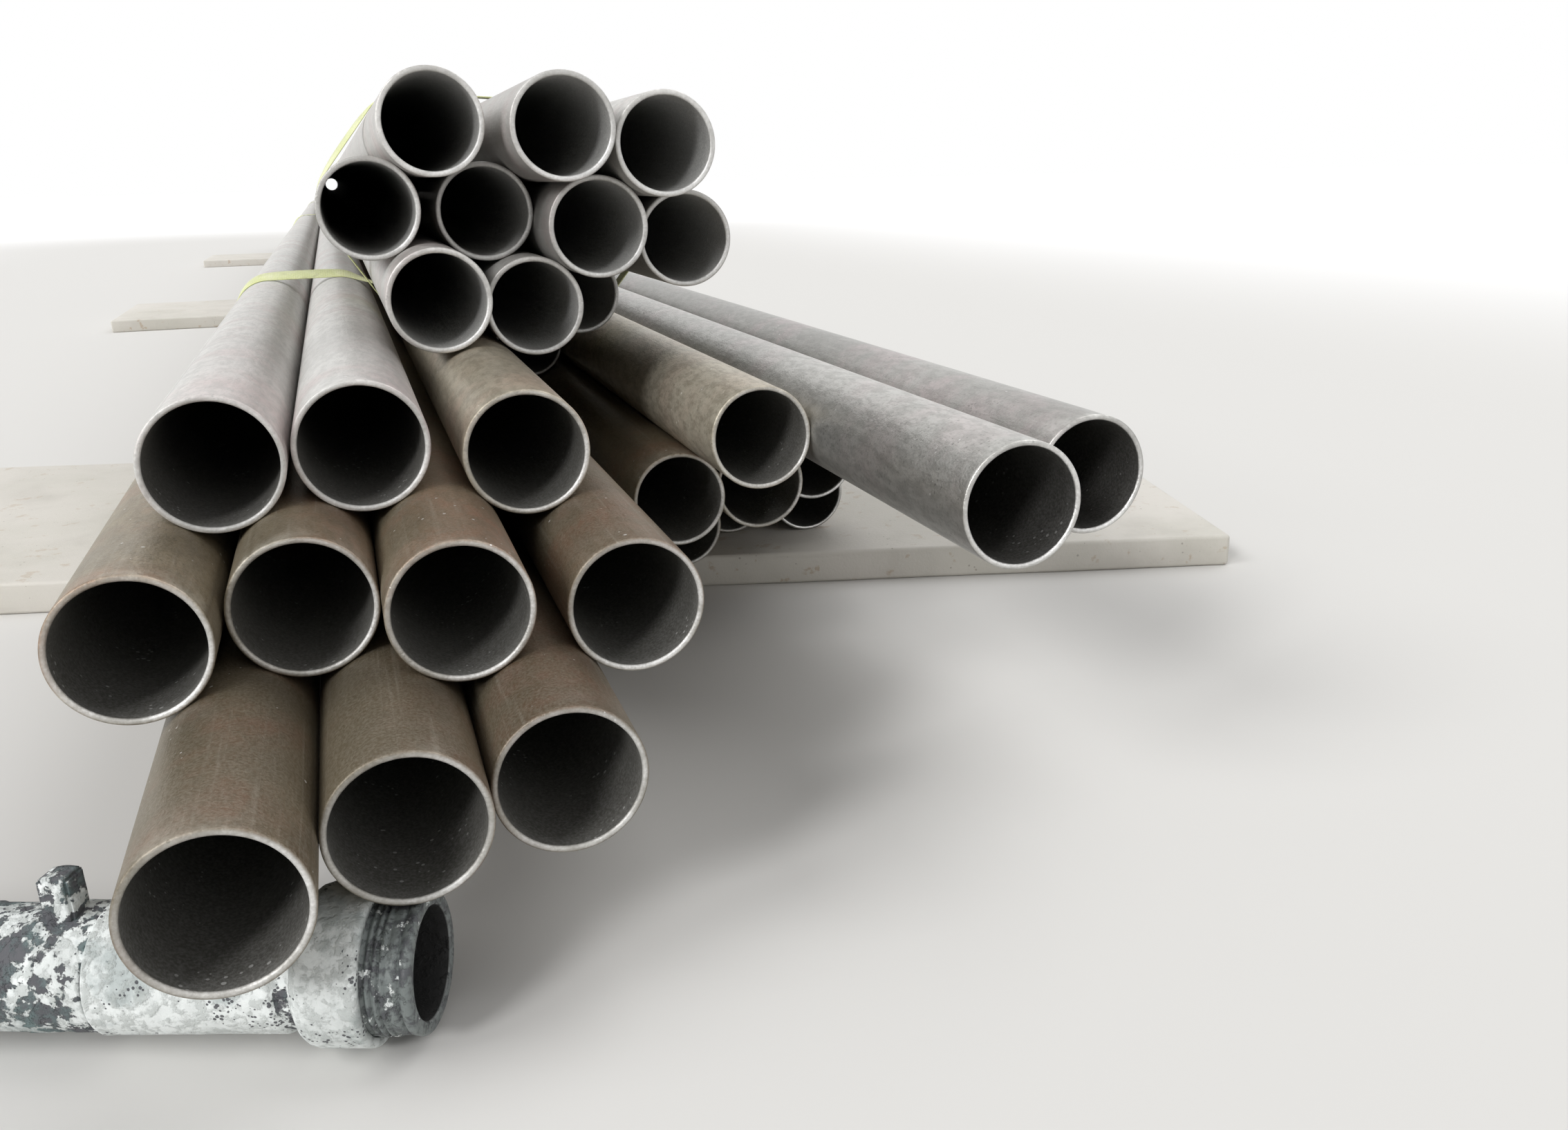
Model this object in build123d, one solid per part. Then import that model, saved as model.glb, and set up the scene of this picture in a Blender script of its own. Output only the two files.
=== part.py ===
from build123d import *

import math
import os

# A stack of steel tubes: two strapped bundles side by side, a third one bridging them and a loose
# tube in the valley between. The bundles lie on boards, the left one also on battens, and its
# front end hangs just above the collar of an old threaded pipe. Millimetres, +Z up, tubes along Y
# with their uneven ends towards -Y. Before the pieces are written, X is 0 in the middle of the
# left bundle's first tube, Y is 0 at the foremost tube end and Z is 0 on the floor.

# The tubes
TUBE_OD = 60.3
TUBE_LENGTH = 6000.0
THIN_WALL = 2.6
THICK_WALL = 3.2
ROLL_GAP = 0.3

# The plastic straps
STRAP_WIDTH = 19.0
STRAP_THICKNESS = 0.9
STRAP_GAP = 0.15

# The boards under the stack and the battens on them, under the left bundle only
BOARD_LENGTH = 1200.0
BOARD_WIDTH = 430.0
BOARD_THICKNESS = 25.0
BOARD_EDGE_RADIUS = 3.0
BATTEN_LENGTH = 250.0
BATTEN_WIDTH = 45.0
BATTEN_HEIGHT = 32.0
BATTEN_OFFSET = (-127.0, -82.0)
SEAT_GAP = 0.2

# The old pipe under the front ends, with its threaded barrel and the collar screwed on it
OLD_PIPE_OD = 48.3
OLD_PIPE_WALL = 3.6
OLD_PIPE_REACH = 300.0
OLD_PIPE_SKEW = -21.5
BARREL_OD = 52.0
BARREL_REACH = 30.5
COLLAR_OD = 60.0
COLLAR_LENGTH = 25.0
COLLAR_X = 35.0
COLLAR_Y = 49.5
COLLAR_CHAMFER = 1.5
THREAD_CLEARANCE = 0.1
LUG_SIZE = 12.0
LUG_RISE = 15.0
LUG_FROM_COLLAR = 104.0
LUG_LEAN = 0.0

# How the bundles have settled: outer tubes that lean away from the close-packed place, in degrees,
# and the right bundle's first middle tube across from the left bundle's first bottom tube
LEFT_OUTER_LEANS = (1.4, 16.5)
UPPER_OUTER_LEANS = (11.0, 0.8)
CLOSE_LEANS = (0.0, 0.0)
RIGHT_BUNDLE_X = 249.7

# Where each tube starts behind the foremost one: bottom, middle and top row, left to right
LEFT_STARTS = ((0.0, 35.0, 52.0), (116.0, 142.0, 112.0, 124.0), (195.0, 206.0, 213.0))
RIGHT_STARTS = ((500.0, 575.0, 560.0), (380.0, 400.0, 460.0, 520.0), (300.0, 104.0, 144.0))
UPPER_STARTS = ((382.0, 420.0, 600.0), (432.0, 456.0, 395.0, 423.0), (397.0, 368.0, 375.0))
LOOSE_START = 800.0

# Where the straps are along the stack, and the boards' places and turns
LEFT_STRAPS = (870.0, 3300.0, 5600.0)
RIGHT_STRAPS = (1500.0, 3500.0, 5700.0)
UPPER_STRAPS = (650.0, 3400.0, 5800.0)
BOARD_PLACES = ((180.0, 775.0, -15.0), (180.0, 2950.0, 0.0), (180.0, 5250.0, 0.0))

# Values that follow from those above
TUBE_RADIUS = TUBE_OD / 2
PITCH = TUBE_OD + ROLL_GAP
BUNDLE_REACH = TUBE_OD + STRAP_THICKNESS + 2 * STRAP_GAP + ROLL_GAP
RIGHT_BASE = BOARD_THICKNESS + SEAT_GAP + TUBE_RADIUS
LEFT_BASE = RIGHT_BASE + BATTEN_HEIGHT + SEAT_GAP
ROW_NAMES = ("bottom", "middle", "top")


def polar(origin, angle, reach):
    """The point at a distance and angle (degrees) from another, in the X-Z plane."""
    turn = math.radians(angle)
    return (origin[0] + reach * math.cos(turn), origin[1] + reach * math.sin(turn))


def perch(left, right, left_reach=PITCH, right_reach=PITCH):
    """The centre of a tube that lies on two others, at the given distances from their centres."""
    run, rise = right[0] - left[0], right[1] - left[1]
    span = math.hypot(run, rise)
    along = (left_reach ** 2 - right_reach ** 2 + span ** 2) / (2 * span)
    up = math.sqrt(left_reach ** 2 - along ** 2)
    return (left[0] + (run * along - rise * up) / span, left[1] + (rise * along + run * up) / span)


def bundle_rows(first, tilt, leans):
    """Centres of a bundle of ten: rows of three, four and three nested in one another."""
    bottom = [first]
    for _ in range(2):
        bottom.append(polar(bottom[-1], tilt, PITCH))
    middle = [polar(bottom[0], tilt + 120 + leans[0], PITCH)]
    middle += [perch(a, b) for a, b in zip(bottom, bottom[1:])]
    middle.append(polar(bottom[-1], tilt + 60 - leans[1], PITCH))
    top = [perch(a, b) for a, b in zip(middle, middle[1:])]
    return bottom, middle, top


def tube_places():
    """The centre of every tube, seen from the front, by the name of its node."""
    left = bundle_rows((0.0, LEFT_BASE), 0.0, LEFT_OUTER_LEANS)
    right = bundle_rows((RIGHT_BUNDLE_X + PITCH / 2, RIGHT_BASE), 0.0, CLOSE_LEANS)
    loose = perch(left[1][3], right[1][0], BUNDLE_REACH, BUNDLE_REACH)

    # The upper bundle straddles the last tube of the left top row and leans on the loose tube.
    saddle = left[2][2]
    height = math.sqrt(BUNDLE_REACH ** 2 - (PITCH / 2) ** 2)
    last = perch(saddle, loose, math.hypot(1.5 * PITCH, height), BUNDLE_REACH)
    slope = math.atan2(last[1] - saddle[1], last[0] - saddle[0]) - math.atan2(height, 1.5 * PITCH)
    upper_tilt = math.degrees(slope)
    upper = bundle_rows(polar(last, upper_tilt + 180, 2 * PITCH), upper_tilt, UPPER_OUTER_LEANS)

    places = {"loose_tube": loose}
    for bundle, rows in (("left", left), ("right", right), ("upper", upper)):
        for row_name, row in zip(ROW_NAMES, rows):
            for number, place in enumerate(row, start=1):
                places[f"{bundle}_{row_name}_tube_{number}"] = place
    return places


TUBE_PLACES = tube_places()


def tube(name, start, wall):
    """A plain tube, cut square, that starts at a distance behind the foremost tube end."""
    x, z = TUBE_PLACES[name]
    ring = Circle(TUBE_RADIUS) - Circle(TUBE_RADIUS - wall)
    return extrude(Plane(origin=(x, start, z), z_dir=(0, 1, 0)) * ring, amount=TUBE_LENGTH)


def belt_wire(turns, y, outside_radius, inside_radius):
    """A closed wire pulled round some tubes, and pushed inwards by those whose turn is -1."""
    corners = []
    for (name, turn), (next_name, next_turn) in zip(turns, turns[1:] + turns[:1]):
        here, there = Vector(*TUBE_PLACES[name]), Vector(*TUBE_PLACES[next_name])
        reach = turn * (outside_radius if turn > 0 else inside_radius)
        next_reach = next_turn * (outside_radius if next_turn > 0 else inside_radius)
        span = there - here
        turned = math.degrees(math.acos((next_reach - reach) / span.length))
        normal = span.normalized().rotate(Axis.Z, turned)
        corners.append((here, reach, here - normal * reach, there - normal * next_reach))

    edges = []
    for before, after in zip(corners[-1:] + corners[:-1], corners):
        middle, reach, leave, _ = after
        arrive = before[3]
        start_angle = math.atan2(arrive.Y - middle.Y, arrive.X - middle.X)
        sweep = (math.atan2(leave.Y - middle.Y, leave.X - middle.X) - start_angle) % (2 * math.pi)
        if reach < 0:
            sweep -= 2 * math.pi
        halfway = start_angle + sweep / 2
        bulge = middle + Vector(math.cos(halfway), math.sin(halfway)) * abs(reach)
        edges.append(ThreePointArc(*[(p.X, y, p.Y) for p in (arrive, bulge, leave)]))
        edges.append(Line(*[(p.X, y, p.Y) for p in (leave, after[3])]))
    return Wire(edges)


def strap(turns, y):
    """A flat plastic strap pulled tight round a bundle, its front edge at a distance y."""
    near = TUBE_RADIUS + STRAP_GAP
    far = near + STRAP_THICKNESS
    face = Face(belt_wire(turns, y, far, near), [belt_wire(turns, y, near, far)])
    return extrude(face, amount=STRAP_WIDTH, dir=(0, 1, 0))


def strap_turns(bundle, y):
    """The tubes that a bundle's strap bends round at y, anticlockwise from the bottom."""
    if bundle == "left":
        turns = [("left_bottom_tube_1", 1), ("left_bottom_tube_3", 1), ("left_middle_tube_4", 1),
                 ("left_top_tube_3", 1), ("upper_bottom_tube_1", -1), ("left_top_tube_2", 1),
                 ("left_top_tube_1", 1), ("left_middle_tube_1", 1)]
    elif bundle == "upper":
        turns = [("upper_bottom_tube_1", 1), ("left_top_tube_3", -1), ("upper_bottom_tube_2", 1),
                 ("upper_bottom_tube_3", 1), ("upper_middle_tube_4", 1), ("upper_top_tube_3", 1),
                 ("upper_top_tube_2", 1), ("upper_top_tube_1", 1), ("upper_middle_tube_1", 1)]
    else:
        turns = [("right_bottom_tube_1", 1), ("right_bottom_tube_3", 1), ("right_middle_tube_4", 1),
                 ("right_top_tube_3", 1), ("right_top_tube_1", 1), ("loose_tube", -1),
                 ("right_middle_tube_1", 1)]
    return [(name, turn) for name, turn in turns if name != "loose_tube" or y > LOOSE_START]


def board(x, y, skew):
    """A pale board with rounded edges, flat on the floor."""
    blank = Box(BOARD_LENGTH, BOARD_WIDTH, BOARD_THICKNESS)
    blank = fillet(blank.edges().filter_by(Axis.X), BOARD_EDGE_RADIUS)
    return Pos(x, y, BOARD_THICKNESS / 2) * Rot(0, 0, skew) * blank


def batten(x, y, skew):
    """The packing batten on a board, which carries the left bundle only."""
    height = BOARD_THICKNESS + SEAT_GAP + BATTEN_HEIGHT / 2
    blank = Box(BATTEN_LENGTH, BATTEN_WIDTH, BATTEN_HEIGHT)
    return Pos(x, y, height) * Rot(0, 0, skew) * Pos(*BATTEN_OFFSET) * blank


def old_pipe_plane():
    """The old pipe's axis, from the collar's centre towards the barrel, with X upwards.

    The collar's left rim and the pipe's far end both rest on the floor.
    """
    turn = math.radians(OLD_PIPE_SKEW)
    lean = math.asin((COLLAR_OD - OLD_PIPE_OD) / 2 / OLD_PIPE_REACH)
    height = COLLAR_OD / 2 * math.cos(lean) + COLLAR_LENGTH / 2 * math.sin(lean)
    axis = Vector(math.cos(turn) * math.cos(lean), math.sin(turn) * math.cos(lean), math.sin(lean))
    upwards = axis.cross(Vector(0, 0, 1)).cross(axis)
    return Plane(origin=(COLLAR_X, COLLAR_Y, height), x_dir=upwards, z_dir=axis)


def old_pipe():
    """The old pipe: a plain body, a thicker threaded barrel at its right end and a square lug."""
    overlap = COLLAR_LENGTH / 2
    body = extrude(Circle(OLD_PIPE_OD / 2), amount=-OLD_PIPE_REACH)
    barrel = Pos(0, 0, -overlap) * extrude(Circle(BARREL_OD / 2), amount=BARREL_REACH + overlap)
    lug = Box(OLD_PIPE_OD / 2 + LUG_RISE, LUG_SIZE, LUG_SIZE, align=(Align.MIN, Align.CENTER, Align.CENTER))
    lug = Rot(0, 0, LUG_LEAN) * Pos(0, 0, -LUG_FROM_COLLAR) * lug
    bore = Pos(0, 0, -OLD_PIPE_REACH) * extrude(Circle(OLD_PIPE_OD / 2 - OLD_PIPE_WALL),
                                                amount=OLD_PIPE_REACH + BARREL_REACH)
    return old_pipe_plane() * (body + barrel + lug - bore)


def collar():
    """The thick collar on the barrel, which stands on the floor under the left bundle."""
    section = Circle(COLLAR_OD / 2) - Circle(BARREL_OD / 2 + THREAD_CLEARANCE)
    ring = extrude(section, amount=COLLAR_LENGTH / 2, both=True)
    outer_rims = ring.edges().filter_by(GeomType.CIRCLE).sort_by(SortBy.RADIUS)[-2:]
    return old_pipe_plane() * chamfer(outer_rims, COLLAR_CHAMFER)


def build_parts():
    """Every piece of the stack, by the name of its node."""
    parts = {}
    bundles = (("left", LEFT_STARTS, THIN_WALL), ("right", RIGHT_STARTS, THIN_WALL),
               ("upper", UPPER_STARTS, THICK_WALL))
    for bundle, row_starts, wall in bundles:
        for row_name, starts in zip(ROW_NAMES, row_starts):
            for number, start in enumerate(starts, start=1):
                name = f"{bundle}_{row_name}_tube_{number}"
                parts[name] = tube(name, start, wall)
    parts["loose_tube"] = tube("loose_tube", LOOSE_START, THIN_WALL)

    straps = (("left", LEFT_STRAPS), ("right", RIGHT_STRAPS), ("upper", UPPER_STRAPS))
    for bundle, places in straps:
        for number, y in enumerate(places, start=1):
            parts[f"{bundle}_strap_{number}"] = strap(strap_turns(bundle, y), y)

    for number, place in enumerate(BOARD_PLACES, start=1):
        parts[f"board_{number}"] = board(*place)
        parts[f"batten_{number}"] = batten(*place)
    parts["old_pipe"] = old_pipe()
    parts["collar"] = collar()
    return parts


def write_parts(parts):
    """Write each piece, with the origin on the floor under the middle of the whole stack."""
    boxes = [piece.bounding_box() for piece in parts.values()]
    middle_x = (min(b.min.X for b in boxes) + max(b.max.X for b in boxes)) / 2
    middle_y = (min(b.min.Y for b in boxes) + max(b.max.Y for b in boxes)) / 2
    floor = min(b.min.Z for b in boxes)
    os.makedirs("parts", exist_ok=True)
    for name, piece in parts.items():
        export_step(Pos(-middle_x, -middle_y, -floor) * piece, f"parts/{name}.step")


if __name__ == "__main__":
    write_parts(build_parts())
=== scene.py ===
import math
import random

import bmesh
import bpy
import numpy as np
from bpy.props import FloatProperty, FloatVectorProperty, IntProperty, PointerProperty
from mathutils import Matrix, Vector, noise


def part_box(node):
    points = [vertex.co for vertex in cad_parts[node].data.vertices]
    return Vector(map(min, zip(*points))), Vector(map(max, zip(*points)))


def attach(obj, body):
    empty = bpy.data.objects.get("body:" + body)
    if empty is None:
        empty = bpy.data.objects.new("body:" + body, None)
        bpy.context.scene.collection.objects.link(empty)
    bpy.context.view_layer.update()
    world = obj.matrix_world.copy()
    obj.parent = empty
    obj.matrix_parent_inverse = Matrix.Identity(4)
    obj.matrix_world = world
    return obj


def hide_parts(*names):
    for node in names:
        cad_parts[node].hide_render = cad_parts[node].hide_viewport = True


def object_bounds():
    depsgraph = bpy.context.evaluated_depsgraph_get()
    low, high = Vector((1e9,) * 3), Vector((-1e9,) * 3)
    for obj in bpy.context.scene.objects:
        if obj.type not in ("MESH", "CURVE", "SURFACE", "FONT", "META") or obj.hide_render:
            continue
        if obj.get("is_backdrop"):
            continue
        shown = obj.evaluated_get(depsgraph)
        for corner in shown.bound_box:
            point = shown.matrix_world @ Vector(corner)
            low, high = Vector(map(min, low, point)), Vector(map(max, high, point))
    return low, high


bl_info = {
    "name": "Stack of steel tubes",
    "version": (1, 0, 0),
    "blender": (4, 5, 0),
    "location": "View3D > Sidebar > Tube stack",
    "description": "Dresses a strapped stack of steel tubes on boards, with an old pipe in front",
    "category": "Object",
}

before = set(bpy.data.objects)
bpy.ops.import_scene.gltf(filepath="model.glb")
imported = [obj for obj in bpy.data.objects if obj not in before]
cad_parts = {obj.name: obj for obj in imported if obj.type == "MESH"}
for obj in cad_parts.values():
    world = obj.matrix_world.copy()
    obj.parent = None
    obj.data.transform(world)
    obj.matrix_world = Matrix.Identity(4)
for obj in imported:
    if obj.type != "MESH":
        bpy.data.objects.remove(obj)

MM = 0.001
TAU = 2 * math.pi
TUBE_NODES = sorted(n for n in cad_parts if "tube" in n)
STRAP_NODES = sorted(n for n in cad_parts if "strap" in n)
BOARD_NODES = sorted(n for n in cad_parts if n.startswith("board"))
BATTEN_NODES = sorted(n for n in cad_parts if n.startswith("batten"))

# The two palest tubes, whose paleness is partly painted reflection of the light on top of the
# bundle, and the greyer, glossier ones, which have looks of their own
SHEEN_PALE_TUBES = ("left_top_tube_1", "left_top_tube_2")
BRIGHT_TUBES = ("right_top_tube_2", "right_top_tube_3",
                "right_middle_tube_3", "right_middle_tube_4", "right_bottom_tube_3")

# The tubes that each bundle's straps bend round, anticlockwise from the bottom, with -1 for one
# that pushes the strap in
STRAP_TURNS = {
    "left": (("left_bottom_tube_1", 1), ("left_bottom_tube_3", 1), ("left_middle_tube_4", 1),
             ("left_top_tube_3", 1), ("upper_bottom_tube_1", -1), ("left_top_tube_2", 1),
             ("left_top_tube_1", 1), ("left_middle_tube_1", 1)),
    "right": (("right_bottom_tube_1", 1), ("right_bottom_tube_3", 1), ("right_middle_tube_4", 1),
              ("right_top_tube_3", 1), ("right_top_tube_1", 1), ("loose_tube", -1),
              ("right_middle_tube_1", 1)),
    "upper": (("upper_bottom_tube_1", 1), ("left_top_tube_3", -1), ("upper_bottom_tube_2", 1),
              ("upper_bottom_tube_3", 1), ("upper_middle_tube_4", 1), ("upper_top_tube_3", 1),
              ("upper_top_tube_2", 1), ("upper_top_tube_1", 1), ("upper_middle_tube_1", 1)),
}

# Where a strap has worked loose and its rear edge stands up: the tubes it lies between, how far
# along the strap this reaches each way and how high the edge stands
STRAP_LIFTS = {
    "left_strap_1": ("left_top_tube_1", "left_top_tube_2", 50 * MM, 6.0 * MM),
    "left_strap_2": ("left_top_tube_1", "left_middle_tube_1", 45 * MM, 3.0 * MM),
    "upper_strap_1": ("upper_middle_tube_1", "upper_top_tube_1", 32 * MM, 3.0 * MM),
    "upper_strap_2": ("upper_top_tube_1", "upper_top_tube_2", 45 * MM, 3.5 * MM),
    "right_strap_1": ("right_top_tube_2", "right_top_tube_3", 50 * MM, 4.0 * MM),
}

# How the tubes whose mouths are nearest look: how pale they are, which is partly each tube's own
# tone and partly painted light, the top rows paler where light falls and the bottom rows darker as
# painted shade, and the angle in degrees, clockwise from the top, and the strength of the stain
# behind the mouth
TUBE_WEAR_AND_LIGHT = {
    "left_top_tube_1": (0.70, 52, 1.60), "left_top_tube_2": (0.66, 66, 1.50),
    "left_top_tube_3": (0.80, 70, 0.60),
    "left_middle_tube_1": (0.60, 60, 0.15), "left_middle_tube_2": (0.36, 60, 1.00),
    "left_middle_tube_3": (0.38, 40, 1.30), "left_middle_tube_4": (0.22, 15, 0.80),
    "left_bottom_tube_1": (0.18, 40, 0.30), "left_bottom_tube_2": (0.08, 50, 0.60),
    "left_bottom_tube_3": (0.05, 20, 0.60), "right_top_tube_1": (1.00, 80, 0.20),
    "right_middle_tube_1": (0.40, 30, 0.20), "right_top_tube_2": (0.80, 90, 0.10),
    "right_top_tube_3": (0.60, 90, 0.10),
}

# How far from a tube's end its skin has a ring of points: close together near the cut
NEAR_RINGS = tuple(s * MM for s in (3, 10, 22, 40, 65, 100, 160, 280))
FAR_RINGS = (0.9, 2.4)

# Where the dust and the stain have faded to about a third, from a tube's end
DUST_REACH = 12 * MM
STAIN_REACH = 160 * MM

# The steps in a strap's path, round a tube and between two
STRAP_ARC_STEP = math.radians(5)
STRAP_RUN_STEP = 8 * MM

# A strap's rounding, as a share of its thickness
STRAP_ROUNDING = 0.35

# The boards and battens: rows of points along them, how deep their faces dip, how many dips a
# metre holds along and across them, the angle where shading turns sharp, and a batten's rounding
SLAB_ROWS = 61
SLAB_DIP = 0.12 * MM
DIPS_ALONG, DIPS_ACROSS = 9, 25
SHARP_ANGLE = math.radians(40)
BATTEN_ROUNDING = 1.0 * MM

# The old pipe: points round it, the spacing of its rings where it is crusted, and its threads
TURNED_POINTS = 180
PIPE_RING_STEP = 1.6 * MM
COLLAR_RING_STEP = 1.0 * MM
THREADS = 3

# How many of the crust's broad lumps, and of its fine ones, a metre holds
BROAD_LUMPS, FINE_LUMPS = 42, 150

# The lug: where it starts, as a share of the pipe's radius, and its rounding
LUG_ROOT = 0.82
LUG_ROUNDING = 1.1 * MM

# How much of the paint has flaked off the pipe's body with its lug, and off the collar
BODY_FLAKING, COLLAR_FLAKING = 0.62, 0.22

# What each point of the old pipe and its collar keeps for the material
PIPE_VALUES = ("inside", "bare", "flaking_and_shade")

# How far the floor reaches each way, and how far from the stack it starts and ends turning white
FLOOR_REACH = 40.0
FLOOR_FADE = (0.6, 3.0)

# Where the random draws of each kind of piece start
TUBE_SEED, BOARD_SEED, BATTEN_SEED = 101, 31, 61


# Meshes

def centre(node):
    """The middle of a frame node's box."""
    low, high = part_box(node)
    return (low + high) / 2


def wrapped_mesh(name, points):
    """A closed mesh from a grid of points that joins up both ways, like a ring's skin."""
    rows, columns = points.shape[:2]
    index = np.arange(rows * columns).reshape(rows, columns)
    beside, above = np.roll(index, -1, 1), np.roll(index, -1, 0)
    faces = np.stack((index, beside, np.roll(beside, -1, 0), above), axis=-1).reshape(-1, 4)
    flat = points.reshape(-1, 3)
    a, b, c, d = (flat[faces[:, i]] for i in range(4))
    volume = np.einsum("ij,ij->", a, np.cross(b, c)) + np.einsum("ij,ij->", a, np.cross(c, d))
    if volume < 0:
        faces = faces[:, ::-1]
    mesh = bpy.data.meshes.new(name)
    mesh.from_pydata(flat.tolist(), [], faces.tolist())
    mesh.shade_smooth()
    return mesh


def point_values(mesh, name, values):
    """Stores one number for each point, which the materials read by name."""
    attribute = mesh.attributes.new(name, "FLOAT", "POINT")
    attribute.data.foreach_set("value", np.asarray(values, np.float32).ravel())


def place(mesh, nodes, material):
    """Puts a mesh in the scene as the piece that stands for some frame nodes."""
    piece = bpy.data.objects.new(mesh.name, mesh)
    bpy.context.scene.collection.objects.link(piece)
    mesh.materials.append(material)
    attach(piece, "root")
    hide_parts(*nodes)


def waves(angles, rng, counts, height):
    """A gentle random wave round a rim, as a sum of a few whole waves."""
    total = np.zeros_like(angles)
    for count in counts:
        total += rng.uniform(0.3, 1.0) * np.sin(count * angles + rng.uniform(0, TAU)) / count ** 0.5
    return total * height / len(counts)


# Shader nodes

def join(tree, value, socket):
    """Gives a socket its value: a link from another socket, or a constant set on it."""
    if isinstance(value, bpy.types.NodeSocket):
        tree.links.new(value, socket)
    else:
        socket.default_value = value


def calculated(tree, kind, operation, *values, output=0):
    """What a Math or Vector Math node makes of its values, each a constant or a socket."""
    node = tree.nodes.new(kind)
    node.operation = operation
    for socket, value in zip(node.inputs, values):
        join(tree, value, socket)
    return node.outputs[output]


def maths(tree, operation, *values):
    """A number calculated from other numbers."""
    return calculated(tree, "ShaderNodeMath", operation, *values)


def vector_maths(tree, operation, *values, output="Vector"):
    """A vector, or its length, calculated from other vectors."""
    return calculated(tree, "ShaderNodeVectorMath", operation, *values, output=output)


def new_group(name, values, outputs):
    """An empty shader group that takes a vector and some numbers, and its two end nodes."""
    group = bpy.data.node_groups.new(name, "ShaderNodeTree")
    group.interface.new_socket(name="Vector", in_out="INPUT", socket_type="NodeSocketVector")
    for socket, value in values.items():
        made = group.interface.new_socket(name=socket, in_out="INPUT",
                                          socket_type="NodeSocketFloat")
        made.default_value = value
    for socket in outputs:
        group.interface.new_socket(name=socket, in_out="OUTPUT", socket_type="NodeSocketFloat")
    return group, group.nodes.new("NodeGroupInput"), group.nodes.new("NodeGroupOutput")


def map_range(tree, value, low, high, to_low=0.0, to_high=1.0):
    """A smooth step of a value between two limits, each a number or a socket."""
    node = tree.nodes.new("ShaderNodeMapRange")
    node.interpolation_type = "SMOOTHSTEP"
    tree.links.new(value, node.inputs["Value"])
    limits = {"From Min": low, "From Max": high, "To Min": to_low, "To Max": to_high}
    for socket, limit in limits.items():
        join(tree, limit, node.inputs[socket])
    return node.outputs["Result"]


def stretched(tree, vector, factors):
    """A vector with each of its parts multiplied by its own factor."""
    return vector_maths(tree, "MULTIPLY", vector, factors)


def noise_value(tree, vector, scale, detail=4.0, roughness=0.6):
    """The value of a noise texture, its scale a number or a socket."""
    node = tree.nodes.new("ShaderNodeTexNoise")
    node.inputs["Detail"].default_value = detail
    node.inputs["Roughness"].default_value = roughness
    tree.links.new(vector, node.inputs["Vector"])
    join(tree, scale, node.inputs["Scale"])
    return node.outputs["Fac"]


def seen_ray(tree):
    """1 where the camera sees a surface, straight or by gloss or glass, and otherwise 0."""
    rays = tree.nodes.new("ShaderNodeLightPath")
    seen = rays.outputs["Is Camera Ray"]
    for ray in ("Is Glossy Ray", "Is Transmission Ray"):
        seen = maths(tree, "MAXIMUM", seen, rays.outputs[ray])
    return seen


# Shader groups that several finishes share

def patches_group():
    """Cloudy patches: a mask of soft islands of a given size."""
    group, given, made = new_group("Patches", {"Scale": 10.0, "Low": 0.45, "High": 0.6}, ("Mask",))
    value = noise_value(group, given.outputs["Vector"], given.outputs["Scale"], 6.0, 0.62)
    mask = map_range(group, value, given.outputs["Low"], given.outputs["High"])
    group.links.new(mask, made.inputs["Mask"])
    return group


def draw_lines_group():
    """Fine lines along the tubes, as rolling and dragging leave them."""
    group, given, made = new_group("Draw lines", {"Scale": 300.0, "Low": 0.5, "High": 0.7},
                                   ("Mask", "Height"))
    thin = stretched(group, given.outputs["Vector"], (1.0, 0.02, 1.0))
    value = noise_value(group, thin, given.outputs["Scale"], 3.0, 0.5)
    mask = map_range(group, value, given.outputs["Low"], given.outputs["High"])
    group.links.new(mask, made.inputs["Mask"])
    group.links.new(value, made.inputs["Height"])
    return group


def specks_group():
    """Scattered small spots: dust, pits and chips."""
    group, given, made = new_group("Specks", {"Scale": 200.0, "Size": 0.2}, ("Mask",))
    cells = group.nodes.new("ShaderNodeTexVoronoi")
    group.links.new(given.outputs["Vector"], cells.inputs["Vector"])
    group.links.new(given.outputs["Scale"], cells.inputs["Scale"])
    gate = noise_value(group, given.outputs["Vector"], 40.0, 2.0)
    reach = maths(group, "MULTIPLY", given.outputs["Size"], map_range(group, gate, 0.45, 0.7))
    near = maths(group, "LESS_THAN", cells.outputs["Distance"], reach)
    group.links.new(near, made.inputs["Mask"])
    return group


def grain_group():
    """A fine tooth all over, for bump and for a little unevenness of gloss."""
    group, given, made = new_group("Grain", {"Scale": 900.0}, ("Height",))
    value = noise_value(group, given.outputs["Vector"], given.outputs["Scale"], 3.0, 0.7)
    group.links.new(value, made.inputs["Height"])
    return group


SHARED = {}


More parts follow.
